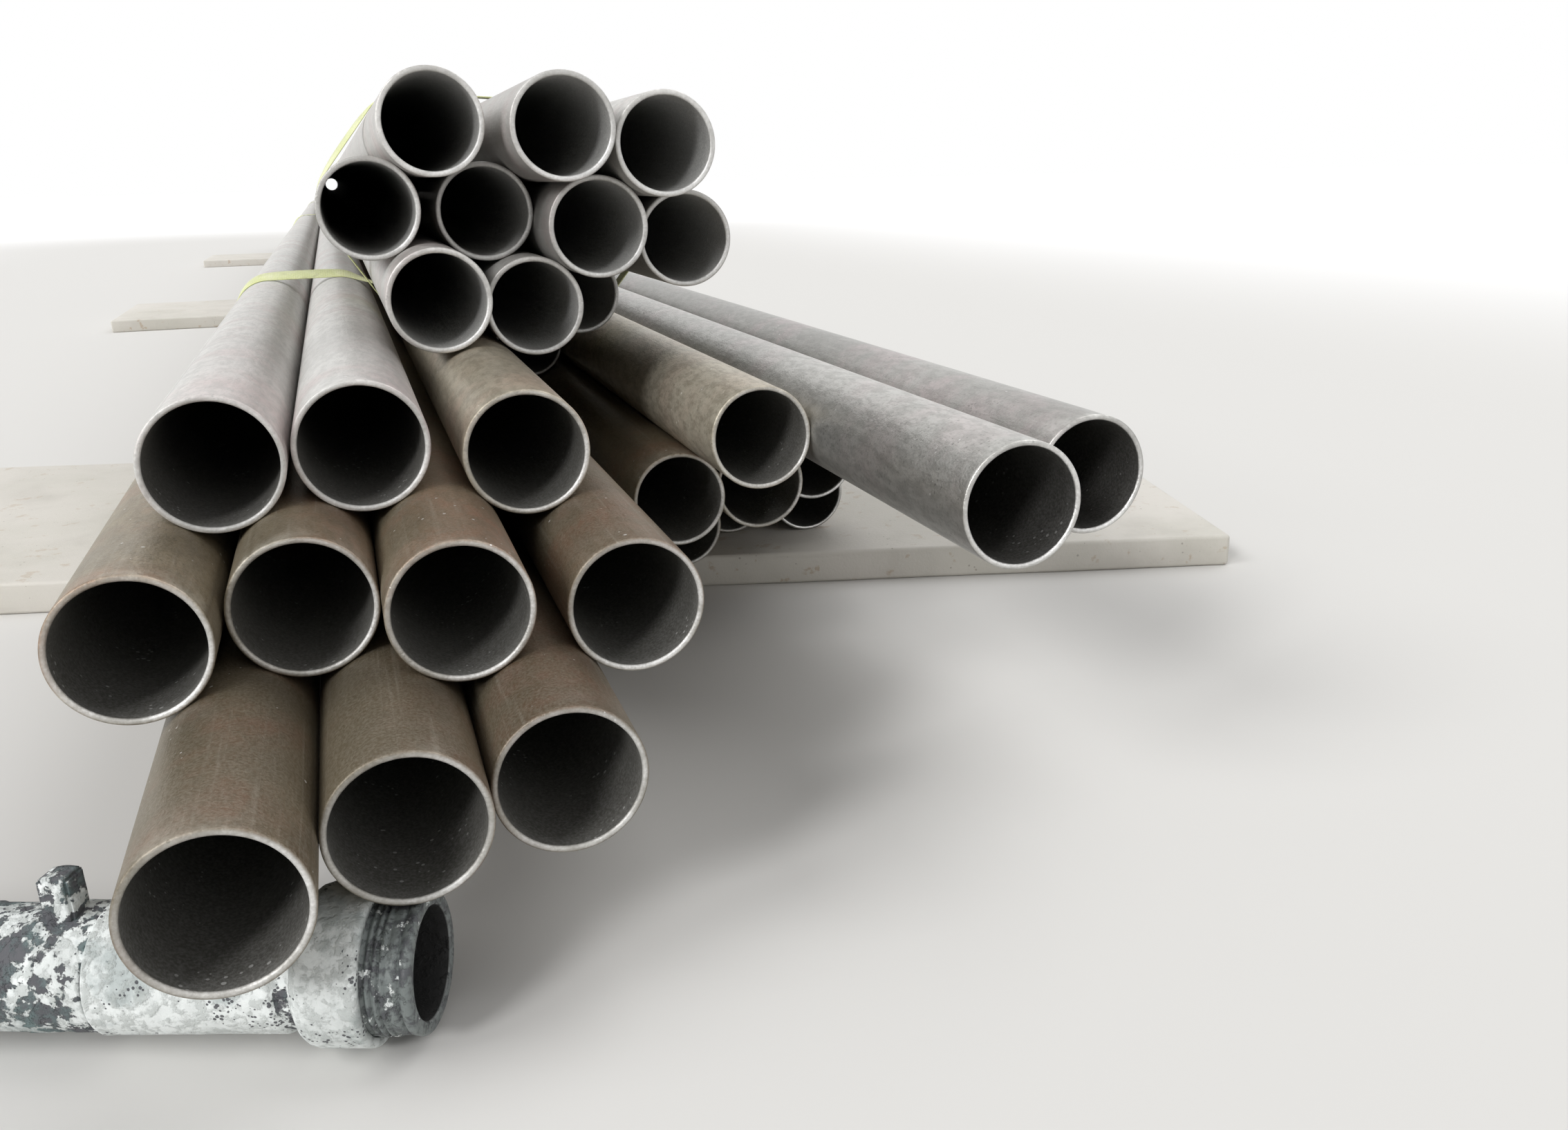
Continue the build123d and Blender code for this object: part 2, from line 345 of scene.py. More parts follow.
class Finish:
    """A material being built: one principled shader, and short calls for what feeds it."""

    def __init__(self, name, roughness, metallic=0.0):
        self.material = bpy.data.materials.new(name)
        self.material.use_nodes = True
        self.tree = self.material.node_tree
        self.shader = self.tree.nodes["Principled BSDF"]
        self.shader.inputs["Roughness"].default_value = roughness
        self.shader.inputs["Metallic"].default_value = metallic
        self.where = self.tree.nodes.new("ShaderNodeTexCoord").outputs["Object"]

    def shared(self, name, output="Mask", vector=None, offset=None, **values):
        """One output of a shared group with its own values, moved where two masks must differ."""
        node = self.tree.nodes.new("ShaderNodeGroup")
        node.node_tree = SHARED[name]
        if vector is None:
            vector = self.where
        if offset is not None:
            vector = vector_maths(self.tree, "ADD", vector, offset)
        self.tree.links.new(vector, node.inputs["Vector"])
        for socket, value in values.items():
            join(self.tree, value, node.inputs[socket])
        return node.outputs[output]

    def patches(self, **values):
        """The shared patches, which most masks come from."""
        return self.shared("Patches", **values)

    def stored(self, name):
        """A number that the mesh keeps for each point."""
        node = self.tree.nodes.new("ShaderNodeAttribute")
        node.attribute_name = name
        return node.outputs["Fac"]

    def math(self, operation, a, b):
        """A number calculated from two values, each a constant or a socket."""
        return maths(self.tree, operation, a, b)

    def mix(self, mask, under, over, strength=1.0):
        """A colour laid over another one where the mask says."""
        node = self.tree.nodes.new("ShaderNodeMix")
        node.data_type = "RGBA"
        factor = mask if strength == 1.0 else self.math("MULTIPLY", mask, strength)
        self.tree.links.new(factor, node.inputs[0])
        for socket, value in ((node.inputs[6], under), (node.inputs[7], over)):
            is_socket = isinstance(value, bpy.types.NodeSocket)
            join(self.tree, value if is_socket else (*value, 1.0), socket)
        return node.outputs[2]

    def layers(self, colour, *laid):
        """A colour with others laid over it in turn, each with its mask and its strength."""
        for mask, over, strength in laid:
            colour = self.mix(mask, colour, over, strength)
        return colour

    def shade(self, colour, value):
        """A colour made lighter or darker by a value about 1."""
        node = self.tree.nodes.new("ShaderNodeVectorMath")
        node.operation = "SCALE"
        self.tree.links.new(colour, node.inputs[0])
        self.tree.links.new(value, node.inputs["Scale"])
        return node.outputs["Vector"]

    def feed(self, socket, value):
        """Joins a value or colour to one of the shader's inputs."""
        self.tree.links.new(value, self.shader.inputs[socket])

    def bump(self, *layers):
        """Relief from heights, each with its depth in metres."""
        normal = None
        for height, depth in layers:
            node = self.tree.nodes.new("ShaderNodeBump")
            node.inputs["Distance"].default_value = depth
            self.tree.links.new(height, node.inputs["Height"])
            if normal is not None:
                self.tree.links.new(normal, node.inputs["Normal"])
            normal = node.outputs["Normal"]
        self.tree.links.new(normal, self.shader.inputs["Normal"])


# Finishes

def tube_steel(name, look):
    """Dusty mill steel with reddish stains near the ends, a bright cut rim and a grey bore; the
    tint and the rim's brightness carry painted light and shade.
    """
    steel = Finish(name, 0.5, look.metal)
    cloud = steel.patches(Scale=5.0, Low=0.25, High=0.75)
    rust = steel.patches(offset=(3.1, 0.7, 1.9), Scale=16.0, Low=0.46, High=0.66)
    bloom = steel.patches(offset=(7.7, 2.3, 4.1), Scale=28.0, Low=0.44, High=0.68)
    drawn = stretched(steel.tree, steel.where, (1.0, 0.4, 1.0))
    mottle = steel.patches(vector=drawn, Scale=190.0, Low=0.38, High=0.64)
    tooth = steel.patches(offset=(0.3, 8.1, 2.4), Scale=800.0, Low=0.35, High=0.7)
    pepper = steel.patches(offset=(6.3, 2.2, 8.4), Scale=480.0, Low=0.5, High=0.72)
    lines = steel.shared("Draw lines", Scale=420.0, Low=0.56, High=0.74)
    specks = steel.shared("Specks", Scale=330.0, Size=0.24)
    chips = steel.shared("Specks", offset=(4.3, 1.7, 6.2), Scale=150.0, Size=0.12)
    grain = steel.shared("Grain", output="Height", Scale=1400.0)
    tint, stain, end = steel.stored("tint"), steel.stored("stain"), steel.stored("end")
    rim, inside, seam = steel.stored("rim"), steel.stored("inside"), steel.stored("seam")

    stained = steel.math("MULTIPLY", stain, map_range(steel.tree, bloom, 0.0, 1.0, 0.55, 1.0))
    skin = steel.layers(look.dark, (cloud, look.body, 1.0), (rust, look.rust, 0.5),
                        (stained, look.rust, 0.8),
                        (steel.math("MULTIPLY", end, bloom), look.dust, 0.7))
    # The tint lightens or darkens the skin and pales it towards the dust colour: partly each tube's
    # own tone, partly painted light on the top rows and painted shade on the bottom rows
    skin = steel.shade(skin, map_range(steel.tree, tint, 0.0, 1.0, 0.62, 1.60))
    paler = map_range(steel.tree, tint, 0.5, 1.0, 0.0, 0.7)
    skin = steel.layers(skin, (paler, look.dust, 1.0), (mottle, look.dark, 0.42),
                        (pepper, look.dark, 0.5), (tooth, look.dust, 0.2), (lines, look.dust, 0.14),
                        (specks, look.dark, 0.6), (chips, look.cut, 0.6), (seam, look.dark, 0.45))
    glints = steel.shared("Specks", offset=(2.1, 3.3, 1.2), Scale=240.0, Size=0.2)
    scale = steel.layers(look.bore, (tooth, look.bore_pale, 1.0), (glints, look.cut, 0.5))
    filings = steel.patches(Scale=620.0, Low=0.3, High=0.7)
    worn = steel.patches(offset=(6.6, 0.2, 3.0), Scale=34.0, Low=0.4, High=0.62)
    cut = steel.layers(look.cut, (filings, look.cut_dull, 0.4), (worn, look.cut_dull, 0.6))
    steel.feed("Base Color", steel.layers(skin, (inside, scale, 1.0), (rim, cut, 1.0)))

    dull = look.roughness
    for mask, share in ((cloud, 0.10), (grain, 0.16), (inside, 0.1)):
        dull = steel.math("ADD", dull, steel.math("MULTIPLY", mask, share))
    steel.feed("Roughness", dull)
    steel.bump((steel.shared("Draw lines", output="Height", Scale=420.0), 0.00010),
               (mottle, 0.00010), (tooth, 0.00006), (grain, 0.00006))
    return steel.material


def strap_plastic(look):
    """Pale packing strap with its pressed waffle pattern."""
    plastic = Finish("strap plastic", 0.42)
    lengthways = plastic.tree.nodes.new("ShaderNodeUVMap")
    lengthways.uv_map = "strap"
    waffle = None
    for turn in (1.0, -1.0):
        slanted = stretched(plastic.tree, lengthways.outputs["UV"], (1.0, turn, 0.0))
        wave = plastic.tree.nodes.new("ShaderNodeTexWave")
        wave.bands_direction = "DIAGONAL"
        wave.inputs["Scale"].default_value = 160.0
        plastic.tree.links.new(slanted, wave.inputs["Vector"])
        height = wave.outputs["Fac"]
        waffle = height if waffle is None else plastic.math("MULTIPLY", waffle, height)
    cloud = plastic.patches(Scale=30.0, Low=0.4, High=0.65)
    dirt = plastic.patches(offset=(2.0, 1.0, 5.0), Scale=90.0, Low=0.55, High=0.7)
    plastic.feed("Base Color", plastic.layers(look.body, (cloud, look.pale, 0.6),
                                              (waffle, look.pale, 0.35), (dirt, look.dirt, 0.35)))
    plastic.shader.inputs["Subsurface Weight"].default_value = 0.15
    plastic.shader.inputs["Subsurface Radius"].default_value = (0.002, 0.002, 0.001)
    plastic.bump((waffle, 0.0003))
    return plastic.material


def board_paint(look):
    """Pale paint with handling dirt, scuffs and a slightly worn edge."""
    paint = Finish("board paint", 0.55)
    cloud = paint.patches(Scale=5.0, Low=0.35, High=0.7)
    dirt = paint.patches(offset=(4.0, 2.0, 0.3), Scale=14.0, Low=0.5, High=0.75)
    specks = paint.shared("Specks", Scale=170.0, Size=0.16)
    drawn = stretched(paint.tree, paint.where, (0.15, 5.0, 1.0))
    scuffs = paint.shared("Draw lines", vector=drawn, Scale=60.0, Low=0.6, High=0.72)
    grain = paint.shared("Grain", output="Height", Scale=500.0)
    chips = paint.patches(Scale=60.0, Low=0.6, High=0.66)
    worn = paint.math("MULTIPLY", paint.stored("edge"), chips)
    paint.feed("Base Color", paint.layers(
        look.paint, (cloud, look.paint_shade, 1.0), (dirt, look.dirt, 0.16),
        (scuffs, look.dirt, 0.12), (specks, look.dirt, 0.6), (worn, look.wood, 0.6)))
    paint.feed("Roughness", paint.math("ADD", 0.45, paint.math("MULTIPLY", grain, 0.25)))
    paint.bump((grain, 0.00025), (scuffs, -0.0002))
    return paint.material


def sawn_wood(look):
    """Rough sawn softwood: long grain, saw marks across it and grey dirt."""
    wood = Finish("sawn wood", 0.75)
    along = stretched(wood.tree, wood.where, (0.06, 1.0, 1.0))
    grain = noise_value(wood.tree, along, 130.0, 6.0, 0.65)
    marks = stretched(wood.tree, wood.where, (1.0, 0.1, 0.1))
    saw = noise_value(wood.tree, marks, 260.0, 2.0)
    dirt = wood.patches(Scale=25.0, Low=0.48, High=0.68)
    late = map_range(wood.tree, grain, 0.35, 0.65)
    wood.feed("Base Color", wood.layers(look.wood, (late, look.wood_dark, 1.0),
                                        (dirt, look.dirt, 0.45)))
    wood.bump((grain, 0.0006), (saw, 0.0004))
    return wood.material


def crusted_iron(look):
    """Old iron under flaking white paint and lime, with blue-grey patches and black pits."""
    iron = Finish("crusted iron", 0.7, 0.0)
    bare, inside, flaking_and_shade = iron.stored("bare"), iron.stored("inside"), iron.stored("flaking_and_shade")
    limit = map_range(iron.tree, flaking_and_shade, 0.0, 1.0, 0.74, 0.44)
    flake = iron.patches(Scale=52.0, Low=limit, High=iron.math("ADD", limit, 0.03))
    chips = iron.patches(offset=(1.5, 6.2, 0.8), Scale=170.0,
                        Low=iron.math("SUBTRACT", limit, 0.02), High=iron.math("ADD", limit, 0.01))
    cloud = iron.patches(offset=(0.4, 3.0, 1.0), Scale=30.0, Low=0.42, High=0.7)
    teal = iron.patches(offset=(2.4, 0.3, 7.0), Scale=34.0, Low=0.52, High=0.66)
    fine = iron.patches(offset=(5.4, 0.1, 3.0), Scale=240.0, Low=0.45, High=0.62)
    pits = iron.shared("Specks", Scale=520.0, Size=0.42)
    grain = iron.shared("Grain", output="Height", Scale=900.0)

    paint = iron.layers(look.crust, (cloud, look.crust_grey, 0.5), (teal, look.teal, 0.5),
                        (fine, look.crust_grey, 0.55))
    under = iron.layers(look.iron, (teal, look.teal, 1.0), (fine, look.teal, 0.5))
    # The glints are painted highlights on the thread, in the crust's white
    glints = iron.patches(offset=(9.0, 2.0, 0.5), Scale=150.0, Low=0.60, High=0.63)
    thread = iron.layers(look.thread, (fine, look.iron, 0.8), (glints, look.crust, 1.0))
    # Inside, the near-black bore colour is painted shade in the pipe
    iron.feed("Base Color", iron.layers(
        paint, (iron.math("MAXIMUM", flake, chips), under, 0.94), (bare, thread, 1.0),
        (pits, look.iron, 0.9), (inside, look.bore, 1.0)))
    iron.feed("Roughness", iron.math("SUBTRACT", 0.78, iron.math("MULTIPLY", bare, 0.4)))
    iron.bump((flake, -0.0007), (chips, -0.0004), (fine, 0.0003), (pits, -0.0005), (grain, 0.0002))
    return iron.material


# Properties

def colour_property(name, value, description):
    """A colour that a user can change."""
    return FloatVectorProperty(name=name, description=description, subtype="COLOR", size=3,
                               min=0.0, max=1.0, default=value)


def share_property(name, value, description):
    """A share from 0 to 1 that a user can change."""
    return FloatProperty(name=name, description=description, subtype="FACTOR",
                         min=0.0, max=1.0, default=value)


def length_property(name, value, description):
    """A length in metres that a user can change."""
    return FloatProperty(name=name, description=description, unit="LENGTH", subtype="DISTANCE",
                         precision=5, default=value)


def angle_property(name, degrees, description):
    """An angle that a user can change."""
    return FloatProperty(name=name, description=description, subtype="ANGLE",
                         default=math.radians(degrees))


def light_property(name, value, description):
    """The strength of a light that a user can change."""
    return FloatProperty(name=name, description=description, min=0.0, default=value)


# The colours that every kind of tube has: each one's name in the sidebar and what it is
TUBE_COLOURS = {
    "body": ("Body", "Steel skin in general"),
    "dark": ("Dark patches", "Darker skin between the patches"),
    "rust": ("Stain", "Thin reddish stain"),
    # The dust colour also pales the skin by the tint, which is partly painted light
    "dust": ("Dust", "Pale dust and rubbed lines"),
    "cut": ("Cut rim", "Bright sawn steel"),
    "cut_dull": ("Dull cut", "Where the cut has dulled"),
    "bore": ("Inner wall", "Scale inside the tubes"),
    "bore_pale": ("Inner dust", "Dust inside the tubes"),
}


def tube_properties(metal, roughness, **colours):
    """The properties of one kind of tube, from its own values."""
    made = {key: colour_property(label, colours[key], words)
            for key, (label, words) in TUBE_COLOURS.items()}
    made["metal"] = share_property("Metal", metal, "How much bare metal shows through the scale")
    made["roughness"] = share_property("Roughness", roughness, "Least roughness of the skin")
    return made


class LowerTubeLook(bpy.types.PropertyGroup):
    """Olive-brown tubes of the two lower bundles"""
    __annotations__ = tube_properties(
        metal=0.40, roughness=0.29, body=(0.225, 0.180, 0.110), dark=(0.105, 0.083, 0.049),
        rust=(0.265, 0.122, 0.070), dust=(0.520, 0.488, 0.410), cut=(0.900, 0.895, 0.880),
        cut_dull=(0.240, 0.230, 0.195), bore=(0.130, 0.125, 0.112), bore_pale=(0.250, 0.248, 0.232))


class SheenPaleTubeLook(bpy.types.PropertyGroup):
    """The two palest tubes, on top of the left bundle, with a rose-brown stain at their mouths;
    their paleness is partly painted reflection
    """
    __annotations__ = tube_properties(
        metal=0.25, roughness=0.32, body=(0.520, 0.515, 0.495), dark=(0.330, 0.325, 0.308),
        rust=(0.350, 0.250, 0.245), dust=(0.720, 0.712, 0.690), cut=(0.860, 0.855, 0.840),
        cut_dull=(0.300, 0.295, 0.275), bore=(0.110, 0.106, 0.096), bore_pale=(0.210, 0.206, 0.192))


class BrightTubeLook(bpy.types.PropertyGroup):
    """Greyer, glossier tubes on top of the right bundle, with a faint lilac stain"""
    __annotations__ = tube_properties(
        metal=0.80, roughness=0.22, body=(0.350, 0.345, 0.330), dark=(0.190, 0.185, 0.170),
        rust=(0.400, 0.315, 0.325), dust=(0.560, 0.555, 0.530), cut=(0.880, 0.875, 0.860),
        cut_dull=(0.300, 0.295, 0.280), bore=(0.130, 0.125, 0.115), bore_pale=(0.260, 0.255, 0.240))


class UpperTubeLook(bpy.types.PropertyGroup):
    """Light grey tubes of the upper bundle, with a faint rose stain"""
    __annotations__ = tube_properties(
        metal=0.40, roughness=0.29, body=(0.455, 0.448, 0.428), dark=(0.310, 0.303, 0.284),
        rust=(0.385, 0.298, 0.290), dust=(0.680, 0.672, 0.650), cut=(0.820, 0.815, 0.800),
        cut_dull=(0.330, 0.325, 0.310), bore=(0.400, 0.398, 0.385), bore_pale=(0.600, 0.598, 0.580))


class TubeShape(bpy.types.PropertyGroup):
    """Sizes of the tubes"""
    thin_wall: length_property("Thin wall", 2.6 * MM, "Wall of the lower tubes")
    thick_wall: length_property("Thick wall", 3.2 * MM, "Wall of the upper tubes")
    rim_wave: length_property("Rim wave", 0.25 * MM, "How far the saw cut wanders")
    burr: length_property("Burr", 0.3 * MM, "Largest burr on the inner edge")
    around: IntProperty(name="Facets around", description="Points round each tube",
                        default=112, min=24, max=256)


class StrapLook(bpy.types.PropertyGroup):
    """Sizes and colours of the packing straps"""
    thickness: length_property("Thickness", 0.9 * MM, "Strap thickness")
    gap: length_property("Gap", 0.15 * MM, "Room between strap and tube")
    body: colour_property("Body", (0.635, 0.675, 0.320), "Yellow-green plastic")
    pale: colour_property("Pale", (0.820, 0.835, 0.560), "Where light shows through it")
    dirt: colour_property("Dirt", (0.300, 0.290, 0.180), "Workshop dirt")


class TimberLook(bpy.types.PropertyGroup):
    """Sizes and colours of the boards and the battens on them"""
    board_width: length_property("Board width", 430 * MM, "Across the boards")
    board_length: length_property("Board length", 1200 * MM, "Along the boards")
    batten_length: length_property("Batten length", 250 * MM, "Along the battens")
    batten_width: length_property("Batten width", 45 * MM, "Across the battens")
    rounding: length_property("Rounding", 3 * MM, "Radius of the boards' long edges")
    skew: angle_property("Skew", -15.0, "Turn of the front board")
    paint: colour_property("Paint", (0.670, 0.640, 0.590), "Cream paint")
    paint_shade: colour_property("Paint, darker", (0.590, 0.570, 0.510), "Uneven paint")
    dirt: colour_property("Dirt", (0.260, 0.235, 0.200), "Floor dirt")
    wood: colour_property("Wood", (0.420, 0.300, 0.185), "Bare wood")
    wood_dark: colour_property("Dark wood", (0.235, 0.160, 0.095), "Late wood in the grain")


class OldPipeLook(bpy.types.PropertyGroup):
    """Sizes and colours of the old pipe and its collar"""
    pipe_radius: length_property("Pipe radius", 24.15 * MM, "Outside of the body")
    pipe_wall: length_property("Pipe wall", 3.6 * MM, "Wall of the body")
    barrel_radius: length_property("Barrel radius", 26.0 * MM, "Outside of the thread")
    collar_radius: length_property("Collar radius", 30.0 * MM, "Outside of the collar")
    collar_length: length_property("Collar length", 25.0 * MM, "Along the collar")
    body_reach: length_property("Body reach", 300.0 * MM, "From the collar's middle to the far end")
    barrel_reach: length_property("Barrel reach", 30.5 * MM,
                                  "From the collar's middle to the open end")
    pitch: length_property("Thread pitch", 2.6 * MM, "From one thread to the next")
    lug_size: length_property("Lug size", 12.0 * MM, "Side of the square lug")
    lug_rise: length_property("Lug rise", 15.0 * MM, "Height of the lug above the body")
    lug_place: length_property("Lug place", 104.0 * MM, "From the collar's middle to the lug")
    skew: angle_property("Skew", -21.5, "Turn of the pipe on the floor")
    crust_depth: length_property("Crust depth", 0.9 * MM, "Height of the flaking crust")
    crust: colour_property("Crust", (0.840, 0.875, 0.865), "White crust")
    crust_grey: colour_property("Grey crust", (0.420, 0.450, 0.435), "Greyer crust")
    teal: colour_property("Blue-grey", (0.130, 0.190, 0.190), "Old paint that shows through")
    iron: colour_property("Iron", (0.055, 0.055, 0.066), "Dark iron in pits and flakes")
    thread: colour_property("Thread", (0.190, 0.215, 0.210), "Dull thread metal")
    # Near black: painted shade inside the pipe
    bore: colour_property("Bore", (0.006, 0.006, 0.006), "Inside the pipe")


class StageLook(bpy.types.PropertyGroup):
    """Camera, light and floor"""
    lens: FloatProperty(name="Lens", description="Focal length on a 36 mm wide frame",
                        default=29.17)
    eye: FloatVectorProperty(name="Eye", description="Camera place from the foremost tube mouth",
                             unit="LENGTH", size=3, precision=4, default=(0.0592, -0.3884, 0.2197))
    turn: angle_property("Turn", 18.67, "Camera heading, right of straight ahead")
    tilt: angle_property("Tilt", -17.22, "Camera tilt, down is negative")
    roll: angle_property("Roll", -1.2, "Camera roll")
    floor: colour_property("Floor", (0.70, 0.69, 0.67), "Plain pale floor")
    sky: light_property("Surrounding light", 0.36, "Strength of the even light")
    window_light: light_property("Window light", 1.35, "Light from the front left")
    left_light: light_property("Left light", 1.3, "Soft light from the left")
    right_light: light_property("Right light", 1.1, "Soft light from the right")
    front_light: light_property("Front light", 0.25, "Weak light from the front")


class TubeStackLook(bpy.types.PropertyGroup):
    """All the sizes and colours of the stack"""
    lower_tubes: PointerProperty(type=LowerTubeLook)
    pale_tubes: PointerProperty(type=SheenPaleTubeLook)
    bright_tubes: PointerProperty(type=BrightTubeLook)
    upper_tubes: PointerProperty(type=UpperTubeLook)
    tubes: PointerProperty(type=TubeShape)
    straps: PointerProperty(type=StrapLook)
    timber: PointerProperty(type=TimberLook)
    old_pipe: PointerProperty(type=OldPipeLook)
    stage: PointerProperty(type=StageLook)


# Pieces

def tube_mesh(node, shape, wall, rng):
    """One tube: two skins joined by sawn rims that wander a little and carry a small inner burr."""
    low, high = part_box(node)
    middle, radius = (low + high) / 2, (high.z - low.z) / 2
    bore = radius - wall
    angles = np.linspace(0, TAU, shape.around, endpoint=False)
    rims = []
    for end, inward in ((low.y, 1), (high.y, -1)):
        wander = waves(angles, rng, (1, 2, 3), shape.rim_wave) + shape.rim_wave
        ragged = np.abs(waves(angles, rng, (7, 11, 17, 23), 2.2 * shape.burr))
        chip = waves(angles, rng, (5, 9, 13), 0.12 * MM)
        # From the skin over the cut to the bore: how far from the end, radius, cut and inside
        profile = ((0.80 * MM + wander, radius + 0 * angles, 0.0, 0.0),
                   (0.34 * MM + wander, radius - 0.16 * MM + chip, 0.1, 0.0),
                   (0.08 * MM + wander, radius - 0.55 * MM + chip, 0.4, 0.0),
                   (wander, radius - 0.40 * wall + 0 * angles, 0.85, 0.0),
                   (wander, bore + 0.85 * MM - 0.3 * ragged, 1.0, 0.0),
                   (wander + 0.28 * MM - 0.4 * ragged, bore + 0.34 * MM, 1.0, 0.0),
                   (wander + 0.75 * MM, bore - 0.5 * ragged, 1.0, 0.0),
                   (wander + 1.30 * MM, bore - 0.1 * ragged, 0.1, 1.0))
        rims.append([(end + inward * back, *others) for back, *others in profile])
    front, back = rims
    from_end = (*NEAR_RINGS, *FAR_RINGS)
    stations = [low.y + s for s in from_end] + [high.y - s for s in reversed(from_end)]
    rings = [(y + 0 * angles, radius + 0 * angles, 0.0, 0.0) for y in stations]
    rings += back
    rings += [(y + 0 * angles, bore + 0 * angles, 0.0, 1.0) for y in reversed(stations[1:-1])]
    rings += front[::-1]
    points = np.stack([np.stack([middle.x + r * np.sin(angles), y,
                                 middle.z + r * np.cos(angles)], -1) for y, r, _, _ in rings])
    mesh = wrapped_mesh(f"{node}_fine", points)
    any_wear = (rng.uniform(0.2, 0.7), rng.uniform(-90, 90), rng.random() * 0.5)
    tint, stain_angle, stain = TUBE_WEAR_AND_LIGHT.get(node, any_wear)
    along = points[:, :, 1]
    to_end = np.minimum(along - low.y, high.y - along)
    facing = np.clip(np.cos(angles - math.radians(stain_angle)), 0, 1) ** 1.5
    # The cut rim is painted brighter towards the lower right and duller towards the upper left: a
    # painted highlight and painted shade on the rim
    rim_light = 0.70 + 0.30 * np.cos(angles - math.radians(rng.uniform(100, 150)))
    point_values(mesh, "rim", np.outer([r[2] for r in rings], rim_light))
    point_values(mesh, "inside", np.repeat([r[3] for r in rings], shape.around))
    point_values(mesh, "end", np.exp(-to_end / DUST_REACH))
    point_values(mesh, "stain", stain * facing[None, :] * np.exp(-to_end / STAIN_REACH))
    seam = np.arange(shape.around) == rng.randrange(shape.around)
    point_values(mesh, "seam", np.tile(seam, len(rings)))
    # The tint of the listed tubes is partly painted light and shade; for the others it is a random
    # tone
    point_values(mesh, "tint", np.full(points.shape[:2], tint))
    return mesh


def strap_path(turns, offset):
    """Points of a belt pulled round tubes, at an offset from their skins."""
    places = {}
    for node, _ in turns:
        low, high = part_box(node)
        middle = np.array([(low.x + high.x) / 2, (low.z + high.z) / 2])
        places[node] = (middle, (high.z - low.z) / 2)
    runs = []
    for (node, turn), (following, next_turn) in zip(turns, turns[1:] + turns[:1]):
        here, radius = places[node]
        there, next_radius = places[following]
        reach = turn * radius + offset
        next_reach = next_turn * next_radius + offset
        span = there - here
        length = np.hypot(*span)
        heading = math.atan2(span[1], span[0]) + math.acos((next_reach - reach) / length)
        normal = np.array([math.cos(heading), math.sin(heading)])
        runs.append((here, reach, here - normal * reach, there - normal * next_reach))
    points = []
    for before, (middle, reach, leave, arrive) in zip(runs[-1:] + runs[:-1], runs):
        enter = before[3]
        start = math.atan2(*(enter - middle)[::-1])
        sweep = (math.atan2(*(leave - middle)[::-1]) - start) % TAU
        if reach < 0:
            sweep -= TAU
        steps = max(2, round(abs(sweep) / STRAP_ARC_STEP))
        points += [middle + abs(reach) * np.array([math.cos(start + sweep * i / steps),
                                                   math.sin(start + sweep * i / steps)])
                   for i in range(steps + 1)]
        run = arrive - leave
        pieces = max(1, round(np.hypot(*run) / STRAP_RUN_STEP))
        points += [leave + run * i / pieces for i in range(1, pieces)]
    return np.array(points)


def strap_lift(node, path, along, outward):
    """How far the strap's rear edge stands up at each point of its path."""
    if node not in STRAP_LIFTS:
        return 0 * along
    first, second, reach, height = STRAP_LIFTS[node]
    here, there = centre(first), centre(second)
    middle = np.array([(here.x + there.x) / 2, (here.z + there.z) / 2])
    away = np.linalg.norm(path - middle, axis=1)
    facing = ((path - middle) * outward).sum(axis=1) > 0
    start = int(np.where(facing, away, 1.0).argmin())
    ahead = (along - along[start]) % along[-1]
    apart = np.minimum(ahead, along[-1] - ahead)
    return height * np.exp(-(apart / reach) ** 4)


def strap_mesh(node, look):
    """One strap: a band with rounded edges, pulled round its bundle and standing up where loose."""
    low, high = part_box(node)
    turns = STRAP_TURNS[node.split("_")[0]]
    path = strap_path(turns, look.gap + look.thickness / 2)
    ahead = np.roll(path, -1, 0) - np.roll(path, 1, 0)
    ahead /= np.linalg.norm(ahead, axis=1)[:, None]
    outward = np.stack([ahead[:, 1], -ahead[:, 0]], -1)
    steps = np.linalg.norm(path - np.roll(path, 1, 0), axis=1)
    steps[0] = 0.0
    along = np.cumsum(steps)
    lift = strap_lift(node, path, along, outward)
    half, edge, width = look.thickness / 2, look.thickness * STRAP_ROUNDING, high.y - low.y
    section = [(low.y + edge, -half), (high.y - edge, -half), (high.y, -half + edge),
               (high.y, half - edge), (high.y - edge, half), ((low.y + high.y) / 2, half),
               (low.y + edge, half), (low.y, half - edge), (low.y, -half + edge)]
    rings = []
    for y, depth in section:
        share = (y - low.y) / width
        rise = lift * share
        # The strap keeps its width, so an edge that stands up draws in
        drawn_in = 0.5 * lift ** 2 / width * share
        rings.append(np.stack([path[:, 0] + outward[:, 0] * (depth + rise), y - drawn_in,
                               path[:, 1] + outward[:, 1] * (depth + rise)], -1))
    mesh = wrapped_mesh(f"{node}_fine", np.stack(rings, 1))
    layer = mesh.uv_layers.new(name="strap")
    uv = np.stack(np.meshgrid(along, [y for y, _ in section], indexing="ij"), -1).reshape(-1, 2)
    corner = np.empty(len(mesh.loops), int)
    mesh.loops.foreach_get("vertex_index", corner)
    layer.data.foreach_set("uv", uv[corner].ravel())
    return mesh


def slab_section(width, thickness, rounding):
    """The rounded section of a board or batten, as points across and up."""
    section = []
    for side, level, quarter in ((1, 1, 0), (-1, 1, 1), (-1, -1, 2), (1, -1, 3)):
        for step in range(5):
            angle = (quarter + step / 4) * math.pi / 2
            section.append((side * (width / 2 - rounding) + rounding * math.cos(angle),
                            level * (thickness / 2 - rounding) + rounding * math.sin(angle)))
    return np.array(section)


